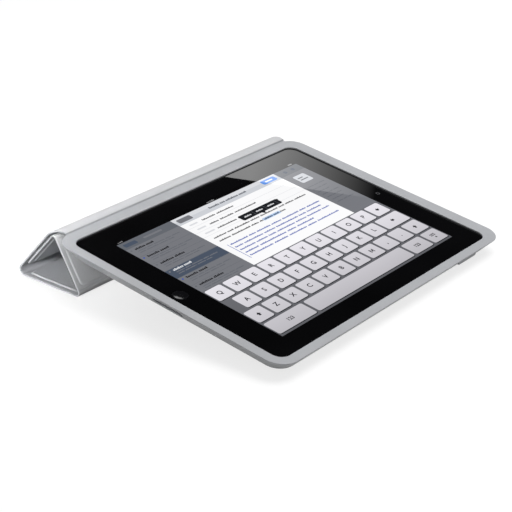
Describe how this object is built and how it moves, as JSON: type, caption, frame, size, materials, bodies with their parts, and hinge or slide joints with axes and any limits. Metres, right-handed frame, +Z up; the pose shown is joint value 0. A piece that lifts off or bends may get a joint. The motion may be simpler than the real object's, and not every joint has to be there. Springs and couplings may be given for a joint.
{
  "type": "tablet folding stand case",
  "caption": "Flat tablet seated in a thin moulded shell whose hinged cover of stiffened panels rolls into a triangular bar and props the screen at a low typing angle.",
  "frame": {"origin": "middle of the footprint, on the table", "axes": "+Z up from the table; +X along the long side to the end with the front camera; the person typing sits at -Y and the rolled cover stands at +Y"},
  "size_m": [0.2576, 0.239, 0.0429],
  "materials": {
    "case_skin": "fine-grained light grey polyurethane skin",
    "soft_lining": "short-napped light grey lining",
    "tablet_metal": "blasted and anodised",
    "tablet_glass": "polished, black-backed border",
    "display": "lit screen",
    "battery_film": "wrapped film",
    "circuit_board": "solder mask",
    "socket_metal": "plated",
    "black_plastic": "moulded",
    "magnet_metal": "nickel plated",
    "button_gloss": "polished",
    "stiffener": "glass-fibre board"
  },
  "bodies": {
    "case_and_tablet": {"case_shell": "case_skin", "shell_lining": "soft_lining", "hinge_strip": "case_skin", "tablet_housing": "tablet_metal", "front_glass": "tablet_glass", "display_panel": "display", "battery_cells": "battery_film", "logic_board": "circuit_board", "dock_connector": "socket_metal", "speaker_module": "black_plastic", "headphone_jack": "socket_metal", "rear_camera": "black_plastic", "front_camera": "black_plastic", "lid_magnets": "magnet_metal"},
    "home_button": {"home_button": "button_gloss"},
    "sleep_button": {"sleep_key": "tablet_metal", "sleep_pad": "case_skin"},
    "volume_control": {"volume_rocker": "tablet_metal", "volume_pad": "case_skin"},
    "mute_switch": {"side_switch": "black_plastic"},
    "rear_panel": {"panel_1_skin": "case_skin", "panel_1_board": "stiffener", "panel_1_lining": "soft_lining", "latch_strip": "magnet_metal", "fold_strip_1": "case_skin"},
    "base_panel": {"panel_2_skin": "case_skin", "panel_2_board": "stiffener", "panel_2_lining": "soft_lining", "fold_strip_2": "case_skin"},
    "front_panel": {"panel_3_skin": "case_skin", "panel_3_board": "stiffener", "panel_3_lining": "soft_lining", "sleep_magnet": "magnet_metal", "fold_strip_3": "case_skin"},
    "free_panel": {"panel_4_skin": "case_skin", "panel_4_board": "stiffener", "panel_4_lining": "soft_lining", "latch_magnets": "magnet_metal"}
  },
  "joints": [
    {"name": "cover_hinge", "type": "hinge", "parent": "case_and_tablet", "child": "rear_panel", "pos_m": [0, 0.08147, 0.04433], "axis": [1, 0, 0], "range_deg": [0, 235.2], "deforming": ["hinge_strip"]},
    {"name": "fold_1", "type": "hinge", "parent": "rear_panel", "child": "base_panel", "pos_m": [0, 0.11957, 0.00308], "axis": [1, 0, 0], "range_deg": [0, 132.8], "deforming": ["fold_strip_1"]},
    {"name": "fold_2", "type": "hinge", "parent": "base_panel", "child": "front_panel", "pos_m": [0, 0.0607, 0.0023], "axis": [1, 0, 0], "range_deg": [0, 8.2], "deforming": ["fold_strip_2"]},
    {"name": "fold_3", "type": "hinge", "parent": "front_panel", "child": "free_panel", "pos_m": [0, 0.08258, 0.04028], "axis": [1, 0, 0], "range_deg": [0, 28.2], "deforming": ["fold_strip_3"]},
    {"name": "home_press", "type": "slide", "parent": "case_and_tablet", "child": "home_button", "axis": [0, 0.1435, -0.9896], "range_m": [0, 0.00035], "stiffness_N_per_m": 1500},
    {"name": "sleep_press", "type": "slide", "parent": "case_and_tablet", "child": "sleep_button", "axis": [-1, 0, 0], "range_m": [0, 0.0004], "stiffness_N_per_m": 1500},
    {"name": "volume_rock", "type": "hinge", "parent": "case_and_tablet", "child": "volume_control", "pos_m": [0.08465, -0.11273, 0.00872], "axis": [0, -0.1435, 0.9896], "range_deg": [-1.2, 1.2], "stiffness_Nm_per_rad": 0.6},
    {"name": "mute_slide", "type": "slide", "parent": "case_and_tablet", "child": "mute_switch", "axis": [1, 0, 0], "range_m": [0, 0.002]}
  ],
  "couplings": [
    {"joint": "fold_2", "follows": "fold_1", "ratio": 0.06},
    {"joint": "fold_3", "follows": "fold_1", "ratio": 0.21}
  ]
}
